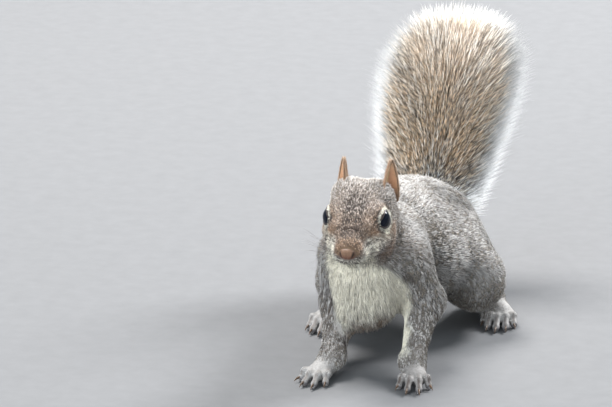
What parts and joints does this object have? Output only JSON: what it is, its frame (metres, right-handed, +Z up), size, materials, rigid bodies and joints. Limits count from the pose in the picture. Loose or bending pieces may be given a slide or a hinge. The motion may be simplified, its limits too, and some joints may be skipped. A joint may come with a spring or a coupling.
{
  "type": "grey squirrel model",
  "caption": "Life-size still model of a grey squirrel standing on all fours, head forward, with its broad bushy tail raised behind it.",
  "frame": {"origin": "centre of the footprint of the whole animal, on the ground under its soles", "axes": "+Z up, -Y the way the nose points, +X the animal's left"},
  "size_m": [0.1182, 0.271, 0.1623],
  "materials": {
    "coat": "dense short coat, silver-grey with ochre and black ticking",
    "feet": "very short pale grey coat over slate skin",
    "ears": "thin skin with fine buff-orange hair",
    "eyes": "black, wet gloss",
    "nose_skin": "bare pink-brown skin, slightly moist",
    "plume": "long brown-ochre hair with a white fringe",
    "horn": "dark amber-brown horn"
  },
  "bodies": {
    "root": {"head": "coat", "neck": "coat", "trunk": "coat", "upper_arm_left": "coat", "upper_arm_right": "coat", "forearm_left": "coat", "forearm_right": "coat", "thigh_left": "coat", "thigh_right": "coat", "shank_left": "coat", "shank_right": "coat", "hand_left": "feet", "hand_right": "feet", "foot_left": "feet", "foot_right": "feet", "ear_left": "ears", "ear_right": "ears", "eye_left": "eyes", "eye_right": "eyes", "nose": "nose_skin", "tail_base": "plume", "tail_middle": "plume", "tail_tip": "plume", "claw_hand_left_1": "horn", "claw_hand_left_2": "horn", "claw_hand_left_3": "horn", "claw_hand_left_4": "horn", "claw_hand_right_1": "horn", "claw_hand_right_2": "horn", "claw_hand_right_3": "horn", "claw_hand_right_4": "horn", "claw_foot_left_1": "horn", "claw_foot_left_2": "horn", "claw_foot_left_3": "horn", "claw_foot_left_4": "horn", "claw_foot_left_5": "horn", "claw_foot_right_1": "horn", "claw_foot_right_2": "horn", "claw_foot_right_3": "horn", "claw_foot_right_4": "horn", "claw_foot_right_5": "horn"}
  },
  "joints": []
}
